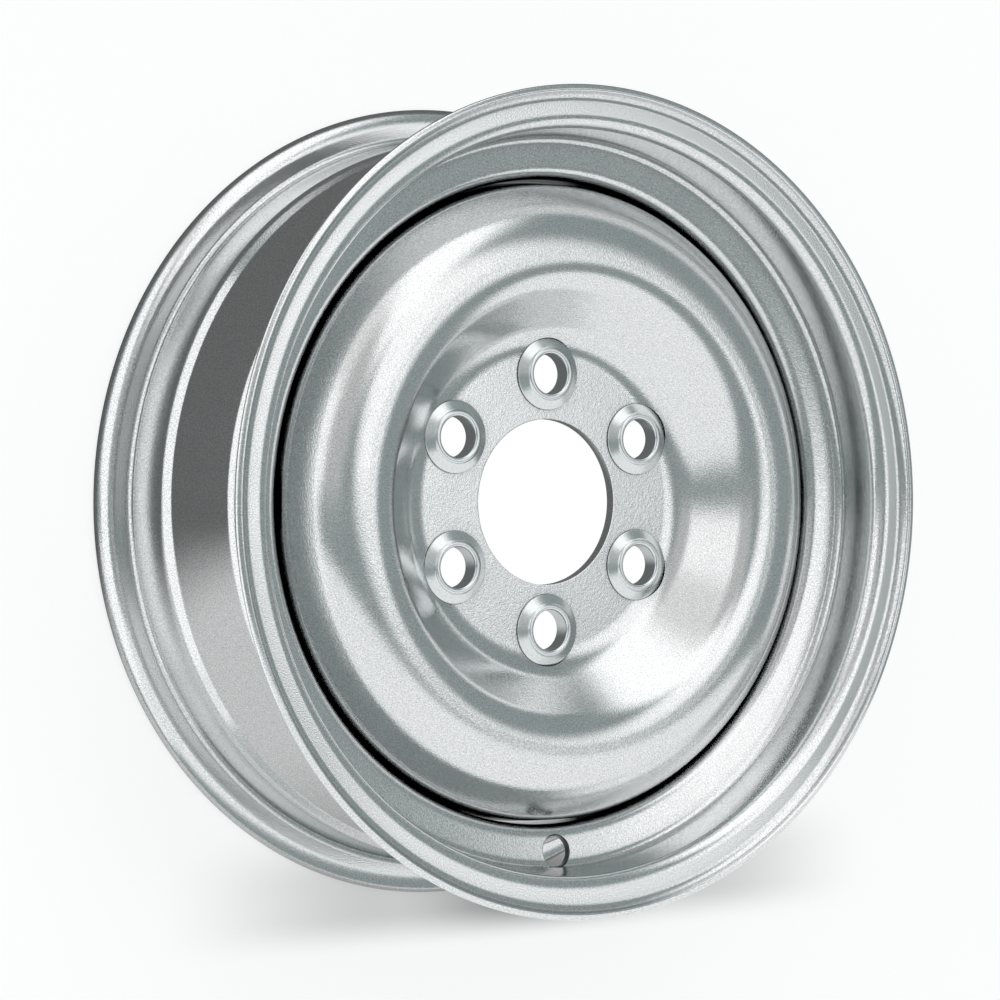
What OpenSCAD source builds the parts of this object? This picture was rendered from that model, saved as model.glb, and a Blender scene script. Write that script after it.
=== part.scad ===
// Steel wheel rim: a rolled drop-centre rim with a pressed disc, lug seats and welds.
// The wheel lies face up. Its axis is Z, and Z = 0 is the face of the disc that meets the hub.

/* [Rim] */
// Bead seat diameter, where the seat meets the flange
bead_d = 380.2; // [340:0.1:420]
// Rim width between the two flange faces that hold the tyre
rim_w = 127; // [118:0.5:165]
// Height of the flanges above the bead seat
flange_h = 17.3; // [16:0.1:20]
// Thickness of the rim strip
rim_t = 3.8; // [3:0.1:4.4]
// Distance from the middle of the rim to the hub face
rim_offset = 20.5; // [12:0.5:28]
// Bend radius of the flange's curl, on the tyre side
curl_r = 6.9; // [6:0.1:8]
// Fillet radius between flange and bead seat, on the tyre side
heel_r = 6.5; // [4:0.1:7]
// Taper of the bead seats
seat_angle = 5; // [3:0.5:7]
// Width of the front bead seat
front_seat_w = 21.7; // [20:0.1:25]
// Width of the rear bead seat
rear_seat_w = 17.1; // [15:0.1:24]

/* [Drop centre] */
// Depth of the inside of the drop centre below the bead seat
drop_depth = 29.5; // [27:0.1:34]
// Width of the drop centre's floor between the corners of its walls
well_w = 26; // [24:0.5:32]
// Lean of the front wall away from the wheel's plane
front_wall_angle = 28; // [20:1:34]
// Lean of the rear wall away from the wheel's plane
rear_wall_angle = 28; // [20:1:36]
// Bend radius at the foot of both walls, at mid thickness
well_bend = 10; // [7:0.5:11]
// Bend radius at the top of both walls, at mid thickness
shoulder_bend = 9.9; // [7:0.1:11]
// Depth of the outside of the rear ledge below the bead seat
ledge_depth = 6.1; // [5:0.1:9]
// Taper of the ledge
ledge_angle = 4; // [0:0.5:6]
// Width of the sloping step between the ledge and the rear bead seat
step_w = 12; // [10:0.5:16]
// Bend radius at both ends of the step, at mid thickness
step_bend = 14; // [8:0.5:20]

/* [Valve hole] */
// Diameter of the valve hole
valve_d = 15.7; // [11:0.1:16]
// Clock position of the valve hole, in degrees from twelve o'clock
valve_clock = 180.5; // [0:0.5:360]

/* [Disc] */
// Thickness of the disc
disc_t = 5.5; // [4.5:0.1:6.5]
// Diameter of the centre bore
bore_d = 84.1; // [60:0.1:88]
// Diameter of the flat hub pad
pad_d = 150; // [140:0.5:156]
// Fillet radius around the hub pad, on the front
pad_fillet = 20; // [10:0.5:24]
// Slope of the disc between the pad and the crown
bowl_angle = 45; // [38:1:52]
// Height of the crown above the hub face
crown_h = 35.1; // [28:0.1:40]
// Radius of the crown on its inner side, on the front
crown_inner_r = 22; // [14:0.5:28]
// Radius of the crown on its outer side, on the front
crown_outer_r = 33; // [20:0.5:42]
// Slope of the disc between the crown and the flange
shoulder_angle = 56; // [50:1:62]
// Radius of the edge between shoulder and flange, on the front
edge_r = 8; // [7:0.5:10]
// Rise of that edge's corner above the straight floor of the drop centre
edge_rise = 1.7; // [0.5:0.1:4]
// Gap all round between the disc's flange and the drop centre
disc_gap = 0.1; // [0.05:0.05:0.3]
// Depth of the flats on the disc's flange
flat_depth = 3; // [1:0.1:4]

/* [Lug seats] */
// Diameter of the circle that the lug holes lie on
lug_pcd = 130; // [124:0.5:134]
// Diameter of the lug holes
lug_hole_d = 20.5; // [16:0.1:22]
// Diameter of a lug seat's spigot, which is pressed into the disc
spigot_d = 27; // [24:0.1:30]
// Gap all round a spigot in its hole
spigot_gap = 0.05; // [0.02:0.01:0.1]
// Diameter of a lug seat's head
seat_head_d = 36.5; // [33:0.1:40]
// Height of the upright edge of the head
seat_edge_h = 1.1; // [0.5:0.1:1.5]
// Height of the whole head
seat_head_h = 4.2; // [3:0.1:5]
// Diameter of the lip at the top of the head
seat_lip_d = 26.4; // [26:0.1:29]
// Radius of the lip's rounded edges
seat_lip_r = 1.2; // [0.5:0.1:1.4]
// Depth to which the pad is faced under the head
face_depth = 0.2; // [0.1:0.05:0.5]
// Gap all round the head where the pad is faced for it
face_gap = 0.2; // [0.1:0.05:0.4]

/* [Welds] */
// Leg length of the fillet welds
weld_leg = 4.5; // [3:0.1:5]
// Bulge of the welds' face
weld_bulge = 0.8; // [0.2:0.1:1.2]
// Straight floor of the drop centre that is left behind the welds
weld_inset = 0.8; // [0.2:0.1:3]
// Angle from the end of a flat to the start of a weld
weld_margin = 6; // [2:0.5:15]

/* [Hidden] */
$fn = 180;
lug_count = 6;
flat_count = 4;
// Angle of twelve o'clock from the X axis
twelve = 90;
// Steps along each bend of a pressed section, and along smaller rounded edges
bend_steps = 10;
edge_steps = 4;
// Rounding of the rim strip's rolled edges
strip_edge_r = 1.2;
// Slope of the lip's rounded edge where the flank of a lug seat runs into it
lip_start = 30;
// Least straight length between two bends or rounded edges
least_flat = 0.5;
// How far a cutting shape passes the material that it cuts
cut_past = 20;
silver = [0.72, 0.74, 0.74];
bright_silver = [0.80, 0.82, 0.82];
weld_grey = [0.60, 0.61, 0.61];

// Pressed sections are paths of corners [radius, height, bend radius], all at mid thickness.

function unit(v) = v/norm(v);
function side(d) = [-d[1], d[0]];
function cross2(a, b) = a[0]*b[1] - a[1]*b[0];
function flat(p) = [p[0], p[1]];
function reverse(list) = [for (i = [len(list) - 1 : -1 : 0]) list[i]];

// Points along an arc
function arc(centre, r, from, to, steps) = [
    for (k = [0 : steps])
        let (a = from + (to - from)*k/steps)
        centre + r*[cos(a), sin(a)]];

// Points on one face of a bent strip, at a signed distance to the left of its middle
function strip_face(path, h) = [
    for (i = [1 : len(path) - 2])
        let (p = flat(path[i]),
             d0 = unit(p - flat(path[i - 1])),
             d1 = unit(flat(path[i + 1]) - p),
             turn = atan2(cross2(d0, d1), d0*d1),
             bend = path[i][2],
             centre = p - d0*bend*tan(abs(turn)/2) + side(d0)*bend*sign(turn))
        for (k = [0 : bend_steps])
            let (a = turn*k/bend_steps,
                 d = d0*cos(a) + side(d0)*sin(a))
            centre + side(d)*(h - bend*sign(turn))];

// Points round the end of a strip, from its left face to its right face, with rounded edges
function strip_end(p, d, h, r) =
    let (left = [for (q = arc([0, 0], r, 0, 90, edge_steps)) [q[1] - r, h - r + q[0]]],
         right = [for (q = reverse(left)) [q[0], -q[1]]])
    [for (q = concat(left, right)) p + d*q[0] + side(d)*q[1]];

// Closed outline of a strip of thickness t along a path
function strip(path, t, r) =
    let (n = len(path) - 1,
         first = flat(path[0]),
         last = flat(path[n]),
         start_d = unit(first - flat(path[1])),
         end_d = unit(last - flat(path[n - 1])))
    concat(strip_end(first, start_d, t/2, r),
           strip_face(path, t/2),
           strip_end(last, end_d, t/2, r),
           reverse(strip_face(path, -t/2)));

// Rim

bead_r = bead_d/2;
flange_r = bead_r + flange_h;
front_face_z = rim_w/2 - rim_offset;
rear_face_z = -rim_w/2 - rim_offset;
rim_h = rim_t/2;
curl_bend = curl_r - rim_h;
curl_mid_r = flange_r - rim_h;
curl_rise = curl_r + strip_edge_r;
heel_bend = heel_r + rim_h;
seat_slope = tan(seat_angle);
seat_mid_r = bead_r - rim_h/cos(seat_angle);
heel_mid_r = seat_mid_r + rim_h*seat_slope;
front_top_z = front_face_z - front_seat_w;
front_top_r = seat_mid_r - front_seat_w*seat_slope;
well_r = bead_r - drop_depth;
well_mid_r = well_r + rim_h;
front_foot_z = front_top_z - (front_top_r - well_mid_r)*tan(front_wall_angle);
rear_foot_z = front_foot_z - well_w;
step_top_z = rear_face_z + rear_seat_w;
step_top_r = seat_mid_r - rear_seat_w*seat_slope;
step_foot_z = step_top_z + step_w;
step_foot_r = bead_r - ledge_depth - rim_h;
rear_wall_slope = 1/tan(rear_wall_angle);
ledge_slope = tan(ledge_angle);
rear_top_z = (well_mid_r + rear_foot_z*rear_wall_slope - step_foot_r - step_foot_z*ledge_slope)
             /(rear_wall_slope - ledge_slope);
rear_top_r = step_foot_r - (rear_top_z - step_foot_z)*ledge_slope;
// Both ends of the drop centre's straight floor
floor_front_z = front_foot_z - well_bend*tan((90 - front_wall_angle)/2);
floor_rear_z = rear_foot_z + well_bend*tan((90 - rear_wall_angle)/2);

rim_path = [
    [curl_mid_r, front_face_z + curl_rise, 0],
    [curl_mid_r, front_face_z + rim_h, curl_bend],
    [heel_mid_r, front_face_z + rim_h, heel_bend],
    [front_top_r, front_top_z, shoulder_bend],
    [well_mid_r, front_foot_z, well_bend],
    [well_mid_r, rear_foot_z, well_bend],
    [rear_top_r, rear_top_z, shoulder_bend],
    [step_foot_r, step_foot_z, step_bend],
    [step_top_r, step_top_z, step_bend],
    [heel_mid_r, rear_face_z - rim_h, heel_bend],
    [curl_mid_r, rear_face_z - rim_h, curl_bend],
    [curl_mid_r, rear_face_z - curl_rise, 0]];

// The valve hole is square to the front wall, just above the middle of it
valve_r = (front_top_r + well_mid_r)/2 + rim_h;
valve_z = front_foot_z + (valve_r - well_mid_r)*tan(front_wall_angle);

module rim()
    color(silver)
    difference() {
        rotate_extrude() polygon(strip(rim_path, rim_t, strip_edge_r));
        rotate(twelve - valve_clock)
        translate([valve_r, 0, valve_z])
        rotate([0, -front_wall_angle, 0])
        cylinder(d = valve_d, h = cut_past, center = true);
    }

// Disc

disc_h = disc_t/2;
disc_r = well_r - disc_gap;
disc_end_z = floor_rear_z + weld_inset + weld_leg;
flat_r = disc_r - flat_depth;
flat_half_angle = acos(flat_r/disc_r);
pad_bend = pad_fillet + disc_h;
crown_mid_z = crown_h - disc_h;
bowl_foot_r = pad_d/2 + pad_bend*tan(bowl_angle/2);
bowl_top_r = bowl_foot_r + (crown_mid_z - disc_h)/tan(bowl_angle);
disc_flange_r = disc_r - disc_h;
shoulder_foot_z = floor_front_z + edge_rise;
shoulder_top_r = disc_flange_r - (crown_mid_z - shoulder_foot_z)/tan(shoulder_angle);
edge_bend = edge_r - disc_h;
inner_bend = crown_inner_r - disc_h;
outer_bend = crown_outer_r - disc_h;
// The two radii of the crown share the room that bowl, shoulder and edge leave them
inner_run = inner_bend*tan(bowl_angle/2);
outer_run = outer_bend*tan(shoulder_angle/2);
edge_run = edge_bend*tan((90 - shoulder_angle)/2);
crown_room = shoulder_top_r - bowl_top_r - least_flat;
shoulder_room = (crown_mid_z - shoulder_foot_z)/sin(shoulder_angle) - edge_run - least_flat;
crown_fit = min(1, crown_room/(inner_run + outer_run), shoulder_room/outer_run);

disc_path = [
    [0, disc_h, 0],
    [bowl_foot_r, disc_h, pad_bend],
    [bowl_top_r, crown_mid_z, inner_bend*crown_fit],
    [shoulder_top_r, crown_mid_z, outer_bend*crown_fit],
    [disc_flange_r, shoulder_foot_z, edge_bend],
    [disc_flange_r, disc_end_z, 0]];

// Solid under one face of the disc, down to bottom_z, clipped by the flats of that face
module under_face(h, clip_r, bottom_z)
    intersection() {
        rotate_extrude()
        polygon(concat([[0, bottom_z], [0, disc_h + h]],
                       strip_face(disc_path, h),
                       [[disc_flange_r + h, bottom_z]]));
        translate([-clip_r, -clip_r, bottom_z - cut_past])
        cube([2*clip_r, 2*clip_r, crown_h - bottom_z + 2*cut_past]);
    }

// Height of the faced rings that the heads of the lug seats sit on
seat_z = disc_t - face_depth;

module at_lug(i)
    rotate(twelve - (i - 1)*360/lug_count)
    translate([lug_pcd/2, 0, 0])
    children();

module disc()
    color(silver)
    difference() {
        under_face(disc_h, flat_r, disc_end_z);
        under_face(-disc_h, flat_r - disc_t, disc_end_z - cut_past);
        cylinder(d = bore_d, h = 2*cut_past, center = true);
        for (i = [1 : lug_count])
            at_lug(i) {
                cylinder(d = spigot_d + 2*spigot_gap, h = 2*cut_past, center = true);
                translate([0, 0, seat_z])
                cylinder(d = seat_head_d + 2*face_gap, h = cut_past);
            }
    }

// Lug seats

hole_r = lug_hole_d/2;
lip_r = min(seat_lip_r, (seat_lip_d - lug_hole_d - least_flat)/4);
lip_z = seat_z + seat_head_h - lip_r;
seat_section = concat(
    [[hole_r, 0], [spigot_d/2, 0], [spigot_d/2, seat_z],
     [seat_head_d/2, seat_z], [seat_head_d/2, seat_z + seat_edge_h]],
    arc([seat_lip_d/2 - lip_r, lip_z], lip_r, lip_start, 90, edge_steps),
    arc([hole_r + lip_r, lip_z], lip_r, 90, 180, edge_steps));

module lug_seat(i)
    color(bright_silver)
    at_lug(i)
    rotate_extrude() polygon(seat_section);

// Welds

weld_half_angle = 180/flat_count - flat_half_angle - weld_margin;
weld_section = concat(
    [[well_r, disc_end_z], [well_r - weld_leg, disc_end_z]],
    [for (k = [1 : edge_steps])
        let (f = k/(edge_steps + 1),
             bulge = weld_bulge*4*f*(1 - f)/sqrt(2))
        [well_r - weld_leg*(1 - f) - bulge, disc_end_z - weld_leg*f - bulge]],
    [[well_r, disc_end_z - weld_leg]]);

// The welds lie half way between the flats
module weld(i)
    color(weld_grey)
    rotate((1 - 2*i)*180/flat_count + twelve - weld_half_angle)
    rotate_extrude(angle = 2*weld_half_angle) polygon(weld_section);

rim();
disc();
for (i = [1 : lug_count])
    lug_seat(i);
for (i = [1 : flat_count])
    weld(i);
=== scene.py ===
"""Steel wheel rim in silver paint: a rolled drop-centre rim, a pressed disc, six lug seats and four welds.
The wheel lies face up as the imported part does: its axis is Z and twelve o'clock is +Y. Sizes are in
millimetres where nothing else is said."""
import math
import bmesh
import bpy
from mathutils import Matrix, Vector


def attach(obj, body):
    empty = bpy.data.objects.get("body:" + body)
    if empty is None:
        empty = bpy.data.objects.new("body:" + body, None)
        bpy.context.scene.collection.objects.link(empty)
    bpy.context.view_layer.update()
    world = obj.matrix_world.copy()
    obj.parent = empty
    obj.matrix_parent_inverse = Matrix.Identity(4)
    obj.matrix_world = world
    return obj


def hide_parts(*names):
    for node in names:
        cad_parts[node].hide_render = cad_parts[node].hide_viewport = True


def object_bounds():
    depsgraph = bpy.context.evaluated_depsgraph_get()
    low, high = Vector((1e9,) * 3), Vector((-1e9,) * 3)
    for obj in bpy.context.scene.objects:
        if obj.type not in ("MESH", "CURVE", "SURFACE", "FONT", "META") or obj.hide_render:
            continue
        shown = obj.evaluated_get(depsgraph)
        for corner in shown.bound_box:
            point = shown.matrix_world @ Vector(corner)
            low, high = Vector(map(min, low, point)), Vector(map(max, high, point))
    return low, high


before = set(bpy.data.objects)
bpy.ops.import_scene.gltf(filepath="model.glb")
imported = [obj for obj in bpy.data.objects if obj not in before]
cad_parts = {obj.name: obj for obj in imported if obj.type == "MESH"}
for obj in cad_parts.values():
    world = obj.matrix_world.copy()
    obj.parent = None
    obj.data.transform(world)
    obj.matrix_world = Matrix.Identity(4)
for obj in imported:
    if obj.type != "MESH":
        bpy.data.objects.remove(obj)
cad_low, cad_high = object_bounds()

MM = 0.001
UP = Vector((0, 0, 1))

# Rim, a rolled strip
RIM_T = 3.8
RIM_LIP = 1.2
BEAD_R = 190.1
FLANGE_H = 17.3
FRONT_FACE = 43.0
REAR_FACE = -84.0
CURL_R = 9.0
CURL_ANGLE = math.radians(72)
HEEL_R = 3.5
SEAT_SLOPE = math.tan(math.radians(5))
FRONT_SEAT_W = 26.5
REAR_SEAT_W = 24.5
DROP_DEPTH = 27.0
WELL_W = 27.5
FRONT_WALL_ANGLE = math.radians(10)
REAR_WALL_ANGLE = math.radians(10)
WELL_BEND = 6.0
REAR_FOOT_BEND = 4.0
SHOULDER_BEND = 7.0
LEDGE_BEND = 4.0
LEDGE_DEPTH = 6.1
LEDGE_SLOPE = math.tan(math.radians(16))
STEP_W = 5.0
STEP_BEND = 5.0

# Disc, a pressed plate
DISC_T = 5.5
DISC_EDGE = 0.35
BORE_R = 42.05
PAD_R = 75.0
PAD_FILLET = 20.0
BOWL_ANGLE = math.radians(45)
CROWN_H = 35.1
CROWN_INNER_R = 22.0
CROWN_OUTER_R = 33.0
SHOULDER_ANGLE = math.radians(46)
EDGE_R = 12.0
EDGE_RISE = 4.2
FLANGE_LEAN = math.radians(5.4)
DISC_GAP = 0.1
FLAT_COUNT = 4
FLAT_DEPTH = 2.4

# Valve hole, lug seats and welds
VALVE_R = 7.85
VALVE_FLARE = 0.5
VALVE_CLOCK = 180.5
LUG_COUNT = 6
LUG_PITCH_R = 65.0
LUG_HOLE_R = 10.25
LUG_HOLE_ROUND = 0.4
SPIGOT_R = 13.5
SPIGOT_GAP = 0.05
SPIGOT_ROUND = 0.3
NECK_ROUND = 0.1
HEAD_R = 18.25
HEAD_EDGE_H = 1.1
HEAD_H = 4.2
HEAD_ROUND = 0.45
HEAD_FOOT_ROUND = 0.2
LIP_R = 13.6
LIP_ROUND = 1.4
LIP_PLAY = 0.01
LIP_START = math.radians(30)
FACE_DEPTH = 0.2
FACE_GAP = 0.2
WELD_COUNT = 4
WELD_LEG = 4.5
WELD_BULGE = 0.8
WELD_INSET = 0.8
WELD_MARGIN = math.radians(6)
WELD_RIPPLE = 0.12
WELD_RIPPLE_PITCH = 2.6
WELD_END_SHARE = 0.25

# How finely the pieces are shaped, and the angles from which an edge is shaded sharp or is rounded
BEND_STEP = math.radians(6)
BEND_SUPPORT = 0.7
HOOP_STEPS = 288
SEAT_STEPS = 96
SHARP_ANGLE = math.radians(34)
EDGE_ANGLE = math.radians(60)
EDGE_STEPS = 4
WELD_FACE_STEPS = 8
RIPPLE_STEPS = 6

# How far the drills reach to either side of their middle
VALVE_REACH = 12
LUG_REACH = 20

# Points closer than these are one, in metres
MERGE_DIST = 1e-6
PLANE_DIST = 1e-7


# Derived sizes

rim_h = RIM_T/2
seat_mid_r = BEAD_R - rim_h/math.cos(math.atan(SEAT_SLOPE))
heel_mid_r = seat_mid_r + rim_h*SEAT_SLOPE
curl_end_r = BEAD_R + FLANGE_H - RIM_LIP*(1 - math.cos(CURL_ANGLE)) - (rim_h - RIM_LIP)*math.sin(CURL_ANGLE)
curl_run = (CURL_R - rim_h)*math.tan(CURL_ANGLE/2) + RIM_LIP
curl_mid_r = curl_end_r - curl_run*math.cos(CURL_ANGLE)
curl_rise = rim_h + curl_run*math.sin(CURL_ANGLE)
front_top_z = FRONT_FACE - FRONT_SEAT_W
front_top_r = seat_mid_r - FRONT_SEAT_W*SEAT_SLOPE
well_r = BEAD_R - DROP_DEPTH
well_mid_r = well_r + rim_h
front_foot_z = front_top_z - (front_top_r - well_mid_r)*math.tan(FRONT_WALL_ANGLE)
rear_foot_z = front_foot_z - WELL_W
step_top_z = REAR_FACE + REAR_SEAT_W
step_top_r = seat_mid_r - REAR_SEAT_W*SEAT_SLOPE
step_foot_z = step_top_z + STEP_W
step_foot_r = BEAD_R - LEDGE_DEPTH - rim_h
wall_slope = 1/math.tan(REAR_WALL_ANGLE)
rear_top_z = ((well_mid_r + rear_foot_z*wall_slope - step_foot_r - step_foot_z*LEDGE_SLOPE)
              /(wall_slope - LEDGE_SLOPE))
rear_top_r = step_foot_r - (rear_top_z - step_foot_z)*LEDGE_SLOPE
floor_front_z = front_foot_z - WELL_BEND*math.tan((math.pi/2 - FRONT_WALL_ANGLE)/2)
floor_rear_z = rear_foot_z + REAR_FOOT_BEND*math.tan((math.pi/2 - REAR_WALL_ANGLE)/2)

# Corners of the rim's section from front to rear: radius, height and bend radius, at mid thickness
RIM_PATH = [
    (curl_end_r, FRONT_FACE + curl_rise, 0),
    (curl_mid_r, FRONT_FACE + rim_h, CURL_R - rim_h),
    (heel_mid_r, FRONT_FACE + rim_h, HEEL_R + rim_h),
    (front_top_r, front_top_z, SHOULDER_BEND),
    (well_mid_r, front_foot_z, WELL_BEND),
    (well_mid_r, rear_foot_z, REAR_FOOT_BEND),
    (rear_top_r, rear_top_z, LEDGE_BEND),
    (step_foot_r, step_foot_z, STEP_BEND),
    (step_top_r, step_top_z, STEP_BEND),
    (heel_mid_r, REAR_FACE - rim_h, HEEL_R + rim_h),
    (curl_mid_r, REAR_FACE - rim_h, CURL_R - rim_h),
    (curl_end_r, REAR_FACE - curl_rise, 0)]

valve_r = (front_top_r + well_mid_r)/2 + rim_h/2
valve_z = front_foot_z + (valve_r - well_mid_r)*math.tan(FRONT_WALL_ANGLE)

disc_h = DISC_T/2
disc_r = well_r - DISC_GAP
disc_end_r = disc_r - disc_h/math.cos(FLANGE_LEAN)
disc_end_z = floor_rear_z + WELD_INSET + WELD_LEG
flat_half_angle = math.acos((disc_r - FLAT_DEPTH)/disc_r)
crown_mid_z = CROWN_H - disc_h
bowl_foot_r = PAD_R + (PAD_FILLET + disc_h)*math.tan(BOWL_ANGLE/2)
bowl_top_r = bowl_foot_r + (crown_mid_z - disc_h)/math.tan(BOWL_ANGLE)
edge_z = floor_front_z + EDGE_RISE
disc_edge_r = disc_end_r - (edge_z - disc_end_z)*math.tan(FLANGE_LEAN)
shoulder_top_r = disc_edge_r - (crown_mid_z - edge_z)/math.tan(SHOULDER_ANGLE)

# The same for the disc, from the bore to the end of its flange
DISC_PATH = [
    (BORE_R, disc_h, 0),
    (bowl_foot_r, disc_h, PAD_FILLET + disc_h),
    (bowl_top_r, crown_mid_z, CROWN_INNER_R - disc_h),
    (shoulder_top_r, crown_mid_z, CROWN_OUTER_R - disc_h),
    (disc_edge_r, edge_z, EDGE_R - disc_h),
    (disc_end_r, disc_end_z, 0)]

seat_z = DISC_T - FACE_DEPTH
seat_top_z = seat_z + HEAD_H
lip_foot_r = LIP_R - LIP_ROUND + LIP_ROUND*math.cos(LIP_START)
lip_foot_z = seat_top_z - LIP_ROUND + LIP_ROUND*math.sin(LIP_START)
lip_corner_r = lip_foot_r - (seat_top_z - lip_foot_z)*math.tan(LIP_START)

# The outline of a lug seat's section, which starts and ends inside its hole
SEAT_PATH = [
    (LUG_HOLE_R, disc_h, 0),
    (LUG_HOLE_R, 0, LUG_HOLE_ROUND),
    (SPIGOT_R, 0, SPIGOT_ROUND),
    (SPIGOT_R, seat_z, NECK_ROUND),
    (HEAD_R, seat_z, HEAD_FOOT_ROUND),
    (HEAD_R, seat_z + HEAD_EDGE_H, HEAD_ROUND),
    (lip_foot_r, lip_foot_z, 0),
    (lip_corner_r, seat_top_z, LIP_ROUND - LIP_PLAY),
    (LUG_HOLE_R, seat_top_z, LIP_ROUND),
    (LUG_HOLE_R, disc_h, 0)]


# Shapes

def on_section(radius, height):
    return Vector((radius, 0, height))*MM


def draw_to(mesh, end, place):
    """Extrudes the wire's end vertex to a place and returns the new end."""
    drawn = bmesh.ops.extrude_vert_indiv(mesh, verts=[end])["verts"][0]
    drawn.co = place
    return drawn


def bent_wire(path):
    """A wire along a section path, with straight runs and round bends."""
    mesh = bmesh.new()
    end = bmesh.ops.create_vert(mesh, co=on_section(path[0][0], path[0][1]))["vert"][0]
    support = BEND_SUPPORT*MM
    for (r0, z0, _), (r1, z1, bend), (r2, z2, _) in zip(path, path[1:], path[2:]):
        corner = on_section(r1, z1)
        before = (corner - on_section(r0, z0)).normalized()
        after = (on_section(r2, z2) - corner).normalized()
        turn = before.angle(after)
        axis = before.cross(after).normalized()
        start = corner - before*bend*MM*math.tan(turn/2)
        for place in (end.co + before*support, start - before*support):
            if (start - end.co).length > 3*support:
                end = draw_to(mesh, end, place)
        end = draw_to(mesh, end, start)
        if bend:
            steps = math.ceil(turn/BEND_STEP)
            centre = start + axis.cross(before)*bend*MM
            bent = bmesh.ops.spin(mesh, geom=[end], cent=centre, axis=axis, angle=turn, steps=steps)
            end = bent["geom_last"][0]
    draw_to(mesh, end, on_section(path[-1][0], path[-1][1]))
    return mesh


def turn_round(mesh, steps):
    """Spins everything in the mesh a full turn about the Z axis."""
    bmesh.ops.spin(mesh, geom=mesh.verts[:] + mesh.edges[:], cent=(0, 0, 0), axis=UP, angle=2*math.pi,
                   steps=steps, use_merge=True)


def sound(mesh):
    """Closes seams and points the faces outwards."""
    bmesh.ops.remove_doubles(mesh, verts=mesh.verts[:], dist=MERGE_DIST)
    bmesh.ops.recalc_face_normals(mesh, faces=mesh.faces[:])


def put_in_scene(mesh, name):
    data = bpy.data.meshes.new(name)
    mesh.to_mesh(data)
    mesh.free()
    piece = bpy.data.objects.new(name, data)
    bpy.context.scene.collection.objects.link(piece)
    return piece


def settle(piece):
    """Applies the modifiers, drops them and shades the piece."""
    bpy.context.view_layer.update()
    shaped = piece.evaluated_get(bpy.context.evaluated_depsgraph_get())
    data = bpy.data.meshes.new_from_object(shaped)
    piece.modifiers.clear()
    piece.data = data
    data.shade_smooth()
    data.set_sharp_from_angle(angle=SHARP_ANGLE)


def thicken(piece, thickness, edge):
    """Gives a pressed sheet its thickness and the small round of its edges."""
    wall = piece.modifiers.new("wall", "SOLIDIFY")
    wall.thickness = thickness*MM
    wall.offset = 0
    wall.use_even_offset = True
    wall.use_quality_normals = True
    rounding = piece.modifiers.new("rounding", "BEVEL")
    rounding.width = edge*MM
    rounding.segments = EDGE_STEPS
    rounding.limit_method = "ANGLE"
    rounding.angle_limit = EDGE_ANGLE
    rounding.harden_normals = False


def cut(piece, cutter):
    """Takes one shape out of a piece and removes the cutter."""
    hole = piece.modifiers.new("hole", "BOOLEAN")
    hole.operation = "DIFFERENCE"
    hole.solver = "EXACT"
    hole.object = cutter
    settle(piece)
    bpy.data.objects.remove(cutter)


def clock(angle):
    """Turn that takes the X axis to a clock position."""
    return Matrix.Rotation(math.pi/2 - angle, 4, "Z")


def valve_place():
    """Place of the valve hole, with its own Z axis along the hole."""
    return (clock(math.radians(VALVE_CLOCK)) @ Matrix.Translation(on_section(valve_r, valve_z))
            @ Matrix.Rotation(-FRONT_WALL_ANGLE, 4, "Y"))


def lug_place(index):
    return clock(index*2*math.pi/LUG_COUNT) @ Matrix.Translation(Vector((LUG_PITCH_R, 0, 0))*MM)


def rim_shape():
    mesh = bent_wire(RIM_PATH)
    turn_round(mesh, HOOP_STEPS)
    sound(mesh)
    piece = put_in_scene(mesh, "rolled_rim")
    thicken(piece, RIM_T, RIM_LIP)
    settle(piece)
    return piece


def valve_cutter():
    """A drill with flares that break both edges of the hole."""
    path = [(0, -VALVE_REACH, 0),
            (VALVE_R + VALVE_FLARE, -VALVE_REACH, 0),
            (VALVE_R + VALVE_FLARE, -rim_h, 0),
            (VALVE_R, VALVE_FLARE - rim_h, 0),
            (VALVE_R, rim_h - VALVE_FLARE, 0),
            (VALVE_R + VALVE_FLARE, rim_h, 0),
            (VALVE_R + VALVE_FLARE, VALVE_REACH, 0),
            (0, VALVE_REACH, 0)]
    mesh = bent_wire(path)
    turn_round(mesh, SEAT_STEPS)
    sound(mesh)
    bmesh.ops.transform(mesh, matrix=valve_place(), verts=mesh.verts[:])
    return put_in_scene(mesh, "valve_drill")


def disc_shape():
    mesh = bent_wire(DISC_PATH)
    turn_round(mesh, HOOP_STEPS)
    sound(mesh)
    flat = (disc_r - FLAT_DEPTH - disc_h)*MM
    for index in range(FLAT_COUNT):
        outward = Matrix.Rotation(index*2*math.pi/FLAT_COUNT, 3, "Z") @ Vector((1, 0, 0))
        bmesh.ops.bisect_plane(mesh, geom=mesh.verts[:] + mesh.edges[:] + mesh.faces[:], dist=PLANE_DIST,
                               plane_co=outward*flat, plane_no=outward)
        for vert in mesh.verts:
            beyond = vert.co.dot(outward) - flat
            if beyond > 0:
                vert.co -= outward*beyond
    piece = put_in_scene(mesh, "pressed_disc")
    thicken(piece, DISC_T, DISC_EDGE)
    settle(piece)
    return piece


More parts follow.
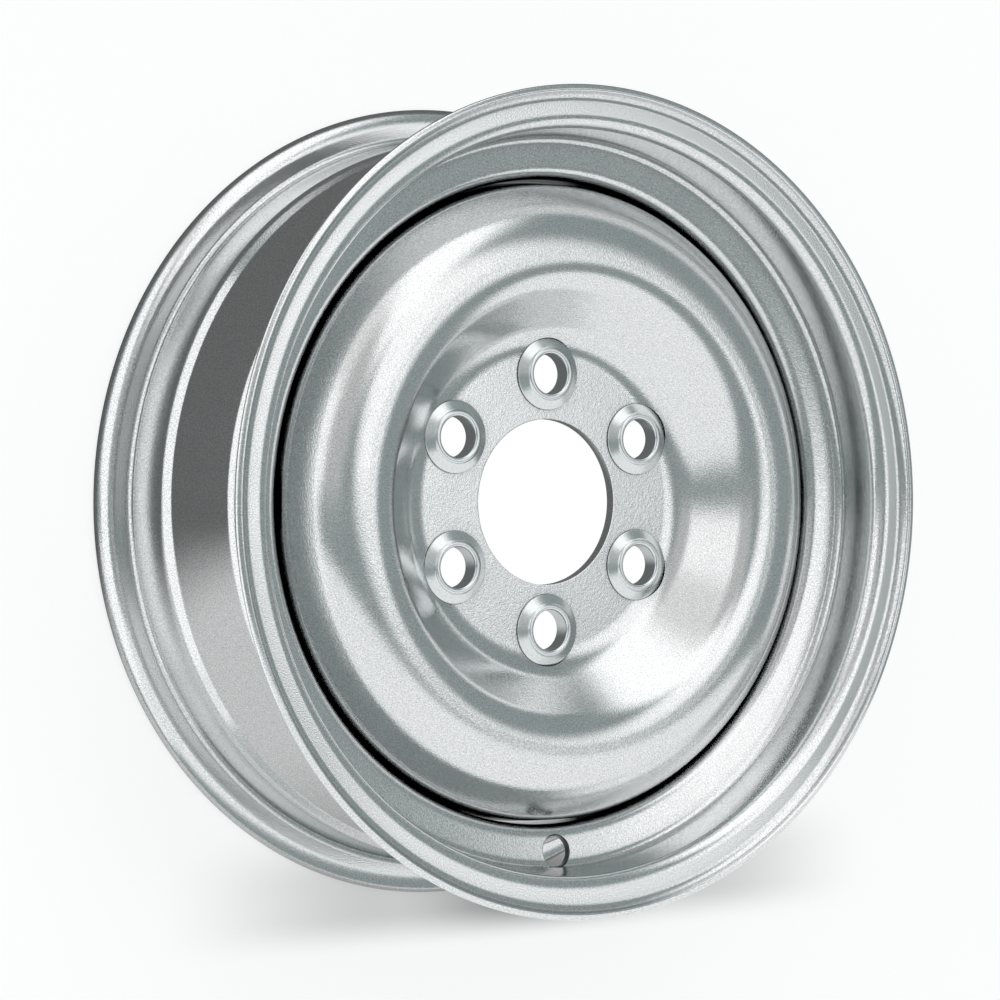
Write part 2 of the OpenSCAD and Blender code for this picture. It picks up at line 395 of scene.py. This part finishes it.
def lug_cutter():
    """Six stepped drills: a hole for each spigot and a spot face for each head."""
    mesh = bmesh.new()
    hole_r = SPIGOT_R + SPIGOT_GAP
    face_r = HEAD_R + FACE_GAP
    for index in range(LUG_COUNT):
        drill = bent_wire([(0, -LUG_REACH, 0), (hole_r, -LUG_REACH, 0), (hole_r, seat_z, 0),
                           (face_r, seat_z, 0), (face_r, LUG_REACH, 0), (0, LUG_REACH, 0)])
        turn_round(drill, SEAT_STEPS)
        sound(drill)
        bmesh.ops.transform(drill, matrix=lug_place(index), verts=drill.verts[:])
        part = bpy.data.meshes.new("drill")
        drill.to_mesh(part)
        drill.free()
        mesh.from_mesh(part)
        bpy.data.meshes.remove(part)
    return put_in_scene(mesh, "lug_drills")


def lug_seat_shape(index):
    mesh = bent_wire(SEAT_PATH)
    turn_round(mesh, SEAT_STEPS)
    sound(mesh)
    bmesh.ops.transform(mesh, matrix=lug_place(index), verts=mesh.verts[:])
    piece = put_in_scene(mesh, f"turned_seat_{index + 1}")
    settle(piece)
    return piece


def weld_shape(index):
    """A fillet bead with ripples, which thins out towards both ends."""
    mesh = bmesh.new()
    half_angle = math.pi/WELD_COUNT - flat_half_angle - WELD_MARGIN
    steps = round(2*half_angle*well_r/WELD_RIPPLE_PITCH)*RIPPLE_STEPS
    corner = (well_r, disc_end_z)
    outline = [corner]
    for k in range(WELD_FACE_STEPS + 1):
        f = k/WELD_FACE_STEPS
        bulge = WELD_BULGE*4*f*(1 - f)/math.sqrt(2)
        outline.append((well_r - WELD_LEG*(1 - f) - bulge, disc_end_z - WELD_LEG*f - bulge))
    corners = [bmesh.ops.create_vert(mesh, co=on_section(r, z))["vert"][0] for r, z in outline]
    start = bmesh.ops.contextual_create(mesh, geom=corners)["faces"]
    bmesh.ops.spin(mesh, geom=start, cent=(0, 0, 0), axis=UP, angle=2*half_angle, steps=steps)
    sound(mesh)
    for vert in mesh.verts:
        along = math.atan2(vert.co.y, vert.co.x)
        depth_r = well_r - math.hypot(vert.co.x, vert.co.y)/MM
        depth_z = disc_end_z - vert.co.z/MM
        into = min(along, 2*half_angle - along)*well_r
        taper = math.sqrt(max(0.0, 1 - max(0.0, 1 - into/WELD_LEG)**2))
        ripple = WELD_RIPPLE*math.cos(2*math.pi*along*well_r/WELD_RIPPLE_PITCH)/WELD_LEG
        share = WELD_END_SHARE + (1 - WELD_END_SHARE)*taper + ripple*taper
        radius = well_r - depth_r*share
        height = disc_end_z - depth_z*share
        vert.co = Matrix.Rotation(along, 3, "Z") @ on_section(radius, height)
    middle = (1 - 2*(index + 1))*math.pi/WELD_COUNT + math.pi/2
    bmesh.ops.rotate(mesh, cent=(0, 0, 0), matrix=Matrix.Rotation(middle - half_angle, 3, "Z"),
                     verts=mesh.verts[:])
    bmesh.ops.recalc_face_normals(mesh, faces=mesh.faces[:])
    piece = put_in_scene(mesh, f"weld_bead_{index + 1}")
    settle(piece)
    return piece


# Materials

# Sockets of a Mix node in colour mode
MIX_A = 6
MIX_B = 7
MIX_OUT = 2

# Patterns in the paint: size and height. The real grit is well under a tenth of a millimetre, and it is drawn
# coarser here so that it shows.
GRIT = 0.6
GRIT_HEIGHT = 0.035
TURNED_GRIT = 1.2
TURNED_GRIT_HEIGHT = 0.012
PEEL = 1.6
PEEL_HEIGHT = 0.055
LUMP = 1.6
LUMP_HEIGHT = 0.2
CLOUD = 25.0

# The orange peel fades out from the pad's edge to the bowl
PEEL_FULL_R = 74.0
PEEL_END_R = 80.0

# Roughness of the paint, and the part of a noise's range that it follows
ROUGH_LOW = 0.13
ROUGH_HIGH = 0.18
TURNED_ROUGH = 0.2
WELD_ROUGH = 0.38
NOISE_LOW = 0.3
NOISE_HIGH = 0.7

# How far from a surface its neighbours reach for the painted shade in a seam, and how open it is where the
# seam is dark and clear
SEAM_REACH = 7.5
SEAM_DARK = 0.22
SEAM_CLEAR = 0.62

# How far round the valve hole its wall takes painted shade, in full and at most, and a form twice as long
# along the hole
HOLE_SHADE_FULL = 0.5
HOLE_SHADE_END = 0.8
HOLE_SHADE_FORM = (1, 1, 0.5)


def linear(hex_colour, strength=1.0):
    """Linear colour of an sRGB hex value."""
    parts = [int(hex_colour[k:k + 2], 16)/255 for k in (1, 3, 5)]
    return tuple(strength*(c/12.92 if c <= 0.04045 else ((c + 0.055)/1.055)**2.4) for c in parts) + (1.0,)


def add(tree, kind, inputs=None, **settings):
    """Adds a node with its settings. An input is a value, or a socket to link from."""
    made = tree.nodes.new(kind)
    for name, value in settings.items():
        setattr(made, name, value)
    for name, value in (inputs or {}).items():
        if isinstance(value, bpy.types.NodeSocket):
            tree.links.new(value, made.inputs[name])
        else:
            made.inputs[name].default_value = value
    return made


def new_material(name):
    material = bpy.data.materials.new(name)
    material.use_nodes = True
    material.node_tree.nodes.clear()
    return material, material.node_tree


def per_mm(size):
    """Texture scale that gives features of a size in millimetres."""
    return 1/(size*MM)


def painted_seam_shade(tree, tone):
    """Paints shade into a tone in seams and holes: darker where neighbouring surfaces close in."""
    # Painted shade: the tone turns dark grey where ambient occlusion finds close neighbours, as in the gap
    # between disc and rim
    open_sky = add(tree, "ShaderNodeAmbientOcclusion", {"Distance": SEAM_REACH*MM}, samples=1)
    clear = add(tree, "ShaderNodeMapRange",
                {"Value": open_sky.outputs["AO"], "From Min": SEAM_DARK, "From Max": SEAM_CLEAR},
                interpolation_type="SMOOTHSTEP")
    shaded = add(tree, "ShaderNodeMix",
                 {"Factor": clear.outputs["Result"], MIX_A: linear("#2c3233"), MIX_B: tone}, data_type="RGBA")
    return shaded.outputs[MIX_OUT]


def silver_coat(tree, place):
    """What the paint on the rim and on the disc share: a tone with light and dark flakes, painted shade in
    the seams, a cloudy roughness and the bump of the grit."""
    grit = add(tree, "ShaderNodeTexNoise", {"Vector": place, "Scale": per_mm(GRIT), "Detail": 0.0})
    bump = add(tree, "ShaderNodeBump",
               {"Height": grit.outputs["Fac"], "Strength": 1.0, "Distance": GRIT_HEIGHT*MM})
    cloud = add(tree, "ShaderNodeTexNoise", {"Vector": place, "Scale": per_mm(CLOUD), "Detail": 3.0})
    rough = add(tree, "ShaderNodeMapRange",
                {"Value": cloud.outputs["Fac"], "From Min": NOISE_LOW, "From Max": NOISE_HIGH,
                 "To Min": ROUGH_LOW, "To Max": ROUGH_HIGH})
    tone = add(tree, "ShaderNodeMix",
               {"Factor": grit.outputs["Fac"], MIX_A: linear("#b4b8b9"), MIX_B: linear("#ffffff")},
               data_type="RGBA")
    return painted_seam_shade(tree, tone.outputs[MIX_OUT]), rough.outputs["Result"], bump.outputs["Normal"]


def silver_paint_on_rolled_steel():
    """Silver metallic paint, sprayed thin over rolled steel: a soft mirror with a fine grit under it, which
    breaks up the edges of reflections into specks. The wall of the valve hole is painted dark grey: painted
    shade in the deep hole."""
    material, tree = new_material("silver_paint_on_rolled_steel")
    place = add(tree, "ShaderNodeTexCoord").outputs["Object"]
    tone, rough, normal = silver_coat(tree, place)
    # Painted shade: the wall of the valve hole is darkened, standing in for the shade inside the deep hole
    hole = add(tree, "ShaderNodeMapping",
               {"Vector": place, "Location": valve_place().translation, "Rotation": valve_place().to_euler()},
               vector_type="TEXTURE")
    hole = add(tree, "ShaderNodeVectorMath", {0: hole.outputs["Vector"], 1: HOLE_SHADE_FORM}, operation="MULTIPLY")
    hole = add(tree, "ShaderNodeVectorMath", {0: hole.outputs["Vector"]}, operation="LENGTH")
    hole_shade = add(tree, "ShaderNodeMapRange",
               {"Value": hole.outputs["Value"], "From Min": (VALVE_R + HOLE_SHADE_END)*MM,
                "From Max": (VALVE_R + HOLE_SHADE_FULL)*MM})
    tone = add(tree, "ShaderNodeMix",
               {"Factor": hole_shade.outputs["Result"], MIX_A: tone, MIX_B: linear("#3a3e40")}, data_type="RGBA")
    shader = add(tree, "ShaderNodeBsdfPrincipled",
                 {"Base Color": tone.outputs[MIX_OUT], "Metallic": 1.0, "Roughness": rough, "Normal": normal})
    add(tree, "ShaderNodeOutputMaterial", {"Surface": shader.outputs["BSDF"]})
    return material


def silver_paint_on_pressed_steel():
    """The same paint on the pressed disc, where the flat pad keeps a coarse orange peel."""
    material, tree = new_material("silver_paint_on_pressed_steel")
    place = add(tree, "ShaderNodeTexCoord").outputs["Object"]
    tone, rough, normal = silver_coat(tree, place)
    flat = add(tree, "ShaderNodeVectorMath", {0: place, 1: (1, 1, 0)}, operation="MULTIPLY")
    radius = add(tree, "ShaderNodeVectorMath", {0: flat.outputs["Vector"]}, operation="LENGTH")
    pad = add(tree, "ShaderNodeMapRange",
              {"Value": radius.outputs["Value"], "From Min": PEEL_END_R*MM, "From Max": PEEL_FULL_R*MM},
              interpolation_type="SMOOTHSTEP")
    peel = add(tree, "ShaderNodeTexNoise", {"Vector": place, "Scale": per_mm(PEEL), "Detail": 1.0})
    bump = add(tree, "ShaderNodeBump",
               {"Height": peel.outputs["Fac"], "Strength": pad.outputs["Result"], "Distance": PEEL_HEIGHT*MM,
                "Normal": normal})
    shader = add(tree, "ShaderNodeBsdfPrincipled",
                 {"Base Color": tone, "Metallic": 1.0, "Roughness": rough, "Normal": bump.outputs["Normal"]})
    add(tree, "ShaderNodeOutputMaterial", {"Surface": shader.outputs["BSDF"]})
    return material


def silver_paint_on_turned_steel():
    """Paint on turned seats: finer in relief and more even than on the disc, and a little less glossy."""
    material, tree = new_material("silver_paint_on_turned_steel")
    place = add(tree, "ShaderNodeTexCoord").outputs["Object"]
    grit = add(tree, "ShaderNodeTexNoise", {"Vector": place, "Scale": per_mm(TURNED_GRIT), "Detail": 2.0})
    bump = add(tree, "ShaderNodeBump",
               {"Height": grit.outputs["Fac"], "Strength": 1.0, "Distance": TURNED_GRIT_HEIGHT*MM})
    tone = add(tree, "ShaderNodeMix",
               {"Factor": grit.outputs["Fac"], MIX_A: linear("#cdd1d2"), MIX_B: linear("#e9eced")},
               data_type="RGBA")
    shader = add(tree, "ShaderNodeBsdfPrincipled",
                 {"Base Color": tone.outputs[MIX_OUT], "Metallic": 1.0, "Roughness": TURNED_ROUGH,
                  "Normal": bump.outputs["Normal"]})
    add(tree, "ShaderNodeOutputMaterial", {"Surface": shader.outputs["BSDF"]})
    return material


def silver_paint_on_weld():
    """Paint over weld metal: duller and lumpier than on the sheet."""
    material, tree = new_material("silver_paint_on_weld")
    place = add(tree, "ShaderNodeTexCoord").outputs["Object"]
    lump = add(tree, "ShaderNodeTexNoise", {"Vector": place, "Scale": per_mm(LUMP), "Detail": 3.0})
    bump = add(tree, "ShaderNodeBump",
               {"Height": lump.outputs["Fac"], "Strength": 1.0, "Distance": LUMP_HEIGHT*MM})
    tone = add(tree, "ShaderNodeMix",
               {"Factor": lump.outputs["Fac"], MIX_A: linear("#a9b0b0"), MIX_B: linear("#d2d7d7")},
               data_type="RGBA")
    shader = add(tree, "ShaderNodeBsdfPrincipled",
                 {"Base Color": tone.outputs[MIX_OUT], "Metallic": 1.0, "Roughness": WELD_ROUGH,
                  "Normal": bump.outputs["Normal"]})
    add(tree, "ShaderNodeOutputMaterial", {"Surface": shader.outputs["BSDF"]})
    return material


# Pieces

def dress(piece, node, material):
    piece.data.materials.clear()
    piece.data.materials.append(material)
    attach(piece, "root")
    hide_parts(node)


rim = rim_shape()
cut(rim, valve_cutter())
dress(rim, "rim", silver_paint_on_rolled_steel())

disc = disc_shape()
cut(disc, lug_cutter())
dress(disc, "disc", silver_paint_on_pressed_steel())

seat_paint = silver_paint_on_turned_steel()
for index in range(LUG_COUNT):
    dress(lug_seat_shape(index), f"lug_seat_{index + 1}", seat_paint)

weld_paint = silver_paint_on_weld()
for index in range(WELD_COUNT):
    dress(weld_shape(index), f"weld_{index + 1}", weld_paint)


# Studio

# Soft panels round the wheel: clock azimuth, its half width, polar angle, its half width (degrees),
# soft edge, colour and radiance. Later panels cover earlier ones.
PANELS = [
    (315, 45, 32, 17, 9, "#fdfefe", 0.60),
    (327, 20, 62, 16, 7, "#ffffff", 0.88),
    (292, 18, 62, 15, 5, "#ffffff", 1.22),
    (54, 44, 23, 15, 7, "#ffffff", 1.28),
    (2, 20, 54, 32, 8, "#ffffff", 1.40)]
SURROUND = linear("#eefcfc", 0.37)
FULL_TURN = 360.0
HALF_TURN = 180.0

# Camera as in the photograph: place and axes in metres, lens and sensor in millimetres
CAMERA_PLACE = Vector((-0.9798, 0.0068, 1.3866))
CAMERA_RIGHT = Vector((0.82361, 0.00237, 0.56715))
CAMERA_BACK = Vector((-0.56716, 0.00345, 0.82360))
CAMERA_LENS = 120.05
CAMERA_SENSOR = 36

# Floor: its half width and height, the wheel's footprint with its soft edge, and the light round in it,
# which shows through the wheel's holes, with a ring of painted shade outside it under the rim
FLOOR_HALF = 4000.0
FLOOR_Z = min(cad_low[2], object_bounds()[0][2])/MM
BARREL_R = 200.0
BARREL_EDGE = 6.0
UNDER_LIGHT_R = 148.0
UNDER_SHADE_R = 160.0
UNDER_PAINTED_SHADE = 0.10

# Paper that glows, and the share of it that takes shadows
PAPER_GLOW = 1.28
SHADOW_SHARE = 0.4

# What metal sees of the floor: light towards six o'clock, and a dark drape towards twelve
DRAPE_START_Y = -110.0
DRAPE_FULL_Y = -20.0
TABLE_LIGHT = 0.72
DRAPE_LIGHT = 0.165

# Painted shadow: its middle, where its wide part and its core end and are full to either side, how dark
# each is, and where both end and are full away from the wheel and under it
SHADOW_X = 65.0
WIDE_END = 240.0
WIDE_FULL = 100.0
WIDE_DARK = 0.36
CORE_END = 95.0
CORE_DARK = 0.40
SHADOW_ENDS = [(-238.0, -216.0), (-165.0, -200.0)]

# Cards that only metal sees: place, half width, light, and soft edges as axis, dark place and lit place
TABLE_Y = -208.5
TABLE_HALF = 1500.0
TABLE_CARD_LIGHT = 1.02
# The last fade dims the table card close to the floor: a painted shadow of the wheel on the table, which
# metal sees
TABLE_EDGES_AND_SHADOW = [("X", 660.0, 500.0), ("Z", 660.0, 500.0), ("Z", -80.0, 0.0)]
SIDE_CARD_X = -300.0
SIDE_HALF = 350.0
SIDE_CARD_LIGHT = 1.25
SIDE_FADES = [("Z", -60.0, -30.0), ("Z", 160.0, 120.0)]

world = bpy.data.worlds.new("studio")
bpy.context.scene.world = world
world.use_nodes = True
sky = world.node_tree
sky.nodes.clear()
ray = add(sky, "ShaderNodeSeparateXYZ", {0: add(sky, "ShaderNodeTexCoord").outputs["Generated"]})
azimuth = add(sky, "ShaderNodeMath", {0: ray.outputs["X"], 1: ray.outputs["Y"]}, operation="ARCTAN2")
azimuth = add(sky, "ShaderNodeMath", {0: azimuth.outputs[0]}, operation="DEGREES")
polar = add(sky, "ShaderNodeMath", {0: ray.outputs["Z"]}, operation="ARCCOSINE")
polar = add(sky, "ShaderNodeMath", {0: polar.outputs[0]}, operation="DEGREES")
light = SURROUND
for az, az_half, pol, pol_half, soft, tint, radiance in PANELS:
    aside = add(sky, "ShaderNodeMath", {0: azimuth.outputs[0], 1: float(az)}, operation="SUBTRACT")
    aside = add(sky, "ShaderNodeMath", {0: aside.outputs[0], 1: FULL_TURN}, operation="PINGPONG")
    aside = add(sky, "ShaderNodeMath", {0: HALF_TURN, 1: aside.outputs[0]}, operation="SUBTRACT")
    aside = add(sky, "ShaderNodeMath", {0: aside.outputs[0]}, operation="ABSOLUTE")
    aside = add(sky, "ShaderNodeMath", {0: HALF_TURN, 1: aside.outputs[0]}, operation="SUBTRACT")
    across = add(sky, "ShaderNodeMapRange",
                 {"Value": aside.outputs[0], "From Min": float(az_half + soft),
                  "From Max": float(az_half - soft)}, interpolation_type="SMOOTHSTEP")
    off = add(sky, "ShaderNodeMath", {0: polar.outputs[0], 1: float(pol)}, operation="SUBTRACT")
    off = add(sky, "ShaderNodeMath", {0: off.outputs[0]}, operation="ABSOLUTE")
    down = add(sky, "ShaderNodeMapRange",
               {"Value": off.outputs[0], "From Min": float(pol_half + soft),
                "From Max": float(pol_half - soft)}, interpolation_type="SMOOTHSTEP")
    inside = add(sky, "ShaderNodeMath", {0: across.outputs["Result"], 1: down.outputs["Result"]},
                 operation="MULTIPLY")
    panel = add(sky, "ShaderNodeMix",
                {"Factor": inside.outputs[0], MIX_A: light, MIX_B: linear(tint, radiance)}, data_type="RGBA")
    light = panel.outputs[MIX_OUT]
lit = add(sky, "ShaderNodeBackground", {"Color": light, "Strength": 1.0})
white = add(sky, "ShaderNodeBackground", {"Color": linear("#ffffff"), "Strength": 1.0})
path = add(sky, "ShaderNodeLightPath")
shown = add(sky, "ShaderNodeMixShader",
            {0: path.outputs["Is Camera Ray"], 1: lit.outputs[0], 2: white.outputs[0]})
add(sky, "ShaderNodeOutputWorld", {"Surface": shown.outputs[0]})


def painted_shadow(tree, split):
    """A soft shadow beside the wheel at its six o'clock side, darkest next to the flange. It is painted,
    because the wheel stands on that side in the photograph and lies on its flange here."""
    aside = add(tree, "ShaderNodeMath", {0: split.outputs["X"], 1: SHADOW_X*MM}, operation="SUBTRACT")
    aside = add(tree, "ShaderNodeMath", {0: aside.outputs[0]}, operation="ABSOLUTE")
    wide = add(tree, "ShaderNodeMapRange",
               {"Value": aside.outputs[0], "From Min": WIDE_END*MM, "From Max": WIDE_FULL*MM,
                "To Max": WIDE_DARK}, interpolation_type="SMOOTHSTEP")
    core = add(tree, "ShaderNodeMapRange",
               {"Value": aside.outputs[0], "From Min": CORE_END*MM, "From Max": 0.0, "To Max": CORE_DARK},
               interpolation_type="SMOOTHSTEP")
    dark = add(tree, "ShaderNodeMath", {0: wide.outputs["Result"], 1: core.outputs["Result"]},
               operation="ADD")
    for end, full in SHADOW_ENDS:
        near = add(tree, "ShaderNodeMapRange",
                   {"Value": split.outputs["Y"], "From Min": end*MM, "From Max": full*MM},
                   interpolation_type="SMOOTHSTEP")
        dark = add(tree, "ShaderNodeMath", {0: dark.outputs[0], 1: near.outputs["Result"]},
                   operation="MULTIPLY")
    return dark.outputs[0]


def studio_floor():
    """Matt white paper with a painted soft shadow. The camera sees it white, with a ring of painted shade
    under the wheel's rim, and metal sees it light towards six o'clock and dim towards twelve, as a studio
    table with a dark drape behind it."""
    material, tree = new_material("studio_paper")
    place = add(tree, "ShaderNodeTexCoord").outputs["Object"]
    split = add(tree, "ShaderNodeSeparateXYZ", {0: place})
    flat = add(tree, "ShaderNodeVectorMath", {0: place, 1: (1, 1, 0)}, operation="MULTIPLY")
    radius = add(tree, "ShaderNodeVectorMath", {0: flat.outputs["Vector"]}, operation="LENGTH")
    outside = add(tree, "ShaderNodeMapRange",
                  {"Value": radius.outputs["Value"], "From Min": BARREL_R*MM,
                   "From Max": (BARREL_R + BARREL_EDGE)*MM})
    # Painted shade: under the rim the floor glows only dimly to the camera, standing in for the shade inside
    # the wheel
    under = add(tree, "ShaderNodeMapRange",
                {"Value": radius.outputs["Value"], "From Min": UNDER_LIGHT_R*MM, "From Max": UNDER_SHADE_R*MM,
                 "To Min": 1.0, "To Max": UNDER_PAINTED_SHADE})
    paper = add(tree, "ShaderNodeBsdfDiffuse", {"Color": linear("#f4f5f5")})
    white = add(tree, "ShaderNodeEmission", {"Color": linear("#ffffff"), "Strength": under.outputs["Result"]})
    glow = add(tree, "ShaderNodeEmission", {"Color": linear("#ffffff"), "Strength": PAPER_GLOW})
    shaded = add(tree, "ShaderNodeMixShader", {0: SHADOW_SHARE, 1: glow.outputs[0], 2: paper.outputs[0]})
    seen = add(tree, "ShaderNodeMixShader",
               {0: outside.outputs["Result"], 1: white.outputs[0], 2: shaded.outputs[0]})
    drape = add(tree, "ShaderNodeMapRange",
                {"Value": split.outputs["Y"], "From Min": DRAPE_START_Y*MM, "From Max": DRAPE_FULL_Y*MM},
                interpolation_type="SMOOTHSTEP")
    tone = add(tree, "ShaderNodeMix",
               {"Factor": drape.outputs["Result"], MIX_A: linear("#fdfefe", TABLE_LIGHT),
                MIX_B: linear("#fbfefe", DRAPE_LIGHT)}, data_type="RGBA")
    mirrored = add(tree, "ShaderNodeEmission", {"Color": tone.outputs[MIX_OUT], "Strength": 1.0})
    path = add(tree, "ShaderNodeLightPath")
    other = add(tree, "ShaderNodeMixShader",
                {0: path.outputs["Is Glossy Ray"], 1: paper.outputs[0], 2: mirrored.outputs[0]})
    surface = add(tree, "ShaderNodeMixShader",
                  {0: path.outputs["Is Camera Ray"], 1: other.outputs[0], 2: seen.outputs[0]})
    black = add(tree, "ShaderNodeEmission", {"Color": linear("#000000")})
    surface = add(tree, "ShaderNodeMixShader",
                  {0: painted_shadow(tree, split), 1: surface.outputs[0], 2: black.outputs[0]})
    add(tree, "ShaderNodeOutputMaterial", {"Surface": surface.outputs[0]})
    return material


def card_material(name, radiance, fades):
    """A glowing studio card with soft edges."""
    material, tree = new_material(name)
    split = add(tree, "ShaderNodeSeparateXYZ", {0: add(tree, "ShaderNodeTexCoord").outputs["Object"]})
    glow = add(tree, "ShaderNodeEmission", {"Color": linear("#fdfefe"), "Strength": radiance})
    clear = add(tree, "ShaderNodeBsdfTransparent", {"Color": linear("#ffffff")})
    for axis, dark, full in fades:
        lit = add(tree, "ShaderNodeMapRange",
                  {"Value": split.outputs[axis], "From Min": dark*MM, "From Max": full*MM},
                  interpolation_type="SMOOTHSTEP")
        glow = add(tree, "ShaderNodeMixShader",
                   {0: lit.outputs["Result"], 1: clear.outputs[0], 2: glow.outputs[0]})
    add(tree, "ShaderNodeOutputMaterial", {"Surface": glow.outputs[0]})
    return material


def studio_card(name, place, normal, half, material):
    """A square card, which lights the wheel only by its mirror image."""
    mesh = bmesh.new()
    bmesh.ops.create_grid(mesh, x_segments=1, y_segments=1, size=half*MM)
    turn = UP.rotation_difference(normal).to_matrix().to_4x4()
    bmesh.ops.transform(mesh, matrix=Matrix.Translation(Vector(place)*MM) @ turn, verts=mesh.verts[:])
    card = put_in_scene(mesh, name)
    card.data.materials.append(material)
    card.visible_camera = False
    card.visible_diffuse = False
    card.visible_shadow = False


mesh = bmesh.new()
bmesh.ops.create_grid(mesh, x_segments=1, y_segments=1, size=FLOOR_HALF*MM)
bmesh.ops.translate(mesh, vec=UP*FLOOR_Z*MM, verts=mesh.verts[:])
floor = put_in_scene(mesh, "floor")
floor.data.materials.append(studio_floor())

studio_card("table", (0, TABLE_Y, TABLE_HALF + FLOOR_Z), Vector((0, 1, 0)), TABLE_HALF,
            card_material("studio_table_paper", TABLE_CARD_LIGHT, TABLE_EDGES_AND_SHADOW))
studio_card("side_card", (SIDE_CARD_X, 0, SIDE_HALF + FLOOR_Z), Vector((1, 0, 0)), SIDE_HALF,
            card_material("studio_side_card", SIDE_CARD_LIGHT, SIDE_FADES))

camera = bpy.data.objects.new("camera", bpy.data.cameras.new("camera"))
bpy.context.scene.collection.objects.link(camera)
camera.data.lens = CAMERA_LENS
camera.data.sensor_width = CAMERA_SENSOR
axes = Matrix((CAMERA_RIGHT, CAMERA_BACK.cross(CAMERA_RIGHT), CAMERA_BACK)).transposed()
camera.matrix_world = Matrix.Translation(CAMERA_PLACE) @ axes.to_4x4()
bpy.context.scene.camera = camera

bpy.context.scene.view_settings.view_transform = "Standard"
